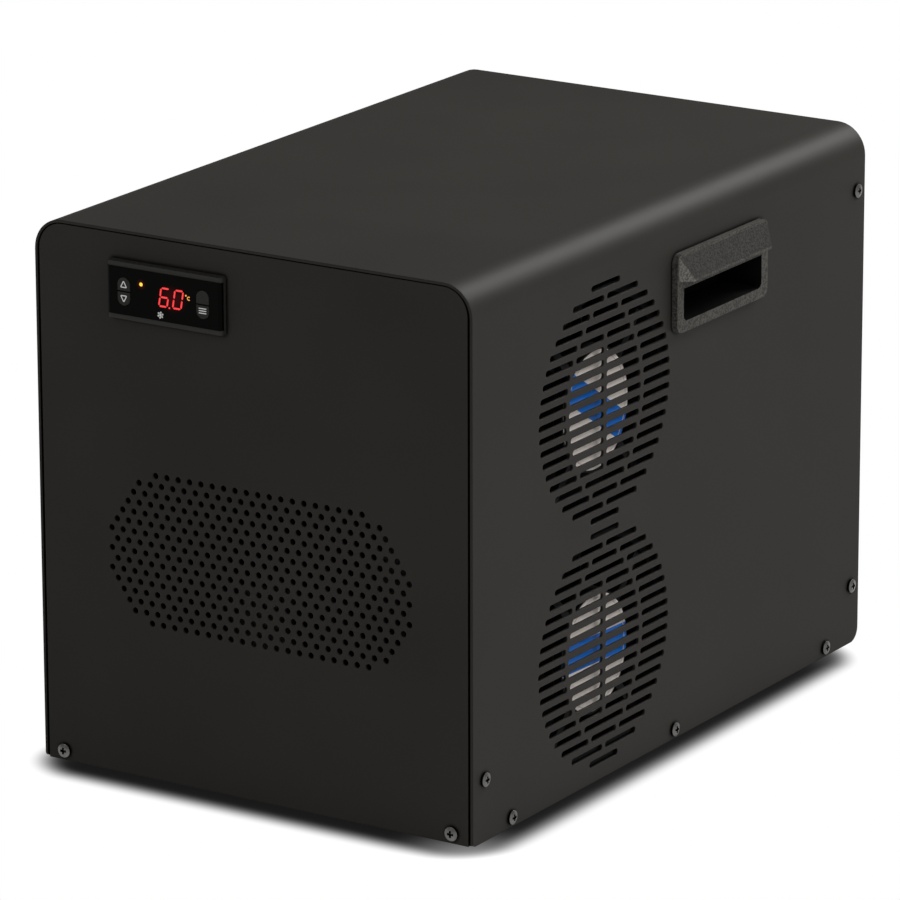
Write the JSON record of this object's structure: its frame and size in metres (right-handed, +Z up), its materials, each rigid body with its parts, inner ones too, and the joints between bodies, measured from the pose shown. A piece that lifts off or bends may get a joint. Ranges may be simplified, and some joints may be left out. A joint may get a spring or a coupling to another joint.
{
  "type": "ice bath water chiller",
  "caption": "Boxed water chiller with a folded black cover, slotted fan vents, a perforated front, pocket handles, a digital controller and threaded water ports behind.",
  "frame": {"origin": "floor level, at the middle of the footprint of the whole part, handles and water ports included", "axes": "+X towards the side with the fans, +Y towards the rear with the water ports, +Z up"},
  "size_m": [0.2958, 0.4412, 0.311],
  "materials": {
    "housing_paint": "satin black powder coat",
    "zinc_sheet": "zinc plated",
    "foot_rubber": "matte",
    "screw_steel": "dark plated",
    "handle_plastic": "fine grain",
    "controller_plastic": "fine grain",
    "window_plastic": "gloss",
    "key_plastic": "satin",
    "fan_plastic": "satin",
    "label_film": "printed film",
    "rotor_steel": "plated",
    "copper": "drawn copper",
    "fin_aluminium": "mill",
    "compressor_paint": "semi-gloss black",
    "terminal_plastic": "moulded",
    "barrel_plastic": "moulded",
    "port_metal": "machined stainless",
    "hose_rubber": "matte",
    "capacitor_can": "drawn can",
    "inlet_plastic": "moulded",
    "pin_brass": "nickel-plated"
  },
  "bodies": {
    "housing": {"wrap_cover": "housing_paint", "front_panel": "housing_paint", "rear_panel": "housing_paint", "base_pan": "housing_paint", "feet": "foot_rubber", "foot_screws": "screw_steel", "cover_screws": "screw_steel", "panel_screws": "screw_steel", "handle_right": "handle_plastic", "handle_left": "handle_plastic", "controller_case": "controller_plastic", "controller_window": "window_plastic", "controller_clips": "controller_plastic", "upper_fan_frame": "fan_plastic", "lower_fan_frame": "fan_plastic", "upper_fan_label": "label_film", "lower_fan_label": "label_film", "fan_stators": "copper", "fan_screws": "screw_steel", "fan_shroud": "housing_paint", "condenser_fins": "fin_aluminium", "condenser_end_plates": "zinc_sheet", "condenser_tubes": "copper", "compressor_shell": "compressor_paint", "compressor_plate": "compressor_paint", "compressor_grommets": "foot_rubber", "compressor_studs": "rotor_steel", "compressor_terminal_cover": "terminal_plastic", "exchanger_barrel": "barrel_plastic", "exchanger_caps": "barrel_plastic", "exchanger_bracket": "zinc_sheet", "water_inlet_port": "port_metal", "water_outlet_port": "port_metal", "port_nuts": "port_metal", "port_seals": "foot_rubber", "water_hoses": "hose_rubber", "hose_clamps": "screw_steel", "filter_drier": "copper", "discharge_pipe": "copper", "liquid_pipe": "copper", "capillary_tube": "copper", "suction_pipe": "copper", "run_capacitor": "capacitor_can", "mains_inlet": "inlet_plastic", "mains_pins": "pin_brass", "mains_screws": "screw_steel"},
    "upper_rotor": {"upper_fan_rotor": "rotor_steel", "upper_fan_impeller": "fan_plastic"},
    "lower_rotor": {"lower_fan_rotor": "rotor_steel", "lower_fan_impeller": "fan_plastic"},
    "up_key": {"key_up": "key_plastic"},
    "down_key": {"key_down": "key_plastic"},
    "plain_key": {"key_plain": "key_plastic"},
    "set_key": {"key_set": "key_plastic"}
  },
  "joints": [
    {"name": "upper_fan_spin", "type": "hinge", "parent": "housing", "child": "upper_rotor", "pos_m": [0.115, -0.08415, 0.213], "axis": [1, 0, 0], "continuous": true},
    {"name": "lower_fan_spin", "type": "hinge", "parent": "housing", "child": "lower_rotor", "pos_m": [0.115, -0.08415, 0.0775], "axis": [1, 0, 0], "continuous": true},
    {"name": "up_key_press", "type": "slide", "parent": "housing", "child": "up_key", "axis": [0, 1, 0], "range_m": [0, 0.0005], "stiffness_N_per_m": 400},
    {"name": "down_key_press", "type": "slide", "parent": "housing", "child": "down_key", "axis": [0, 1, 0], "range_m": [0, 0.0005], "stiffness_N_per_m": 400},
    {"name": "plain_key_press", "type": "slide", "parent": "housing", "child": "plain_key", "axis": [0, 1, 0], "range_m": [0, 0.0005], "stiffness_N_per_m": 400},
    {"name": "set_key_press", "type": "slide", "parent": "housing", "child": "set_key", "axis": [0, 1, 0], "range_m": [0, 0.0005], "stiffness_N_per_m": 400}
  ]
}
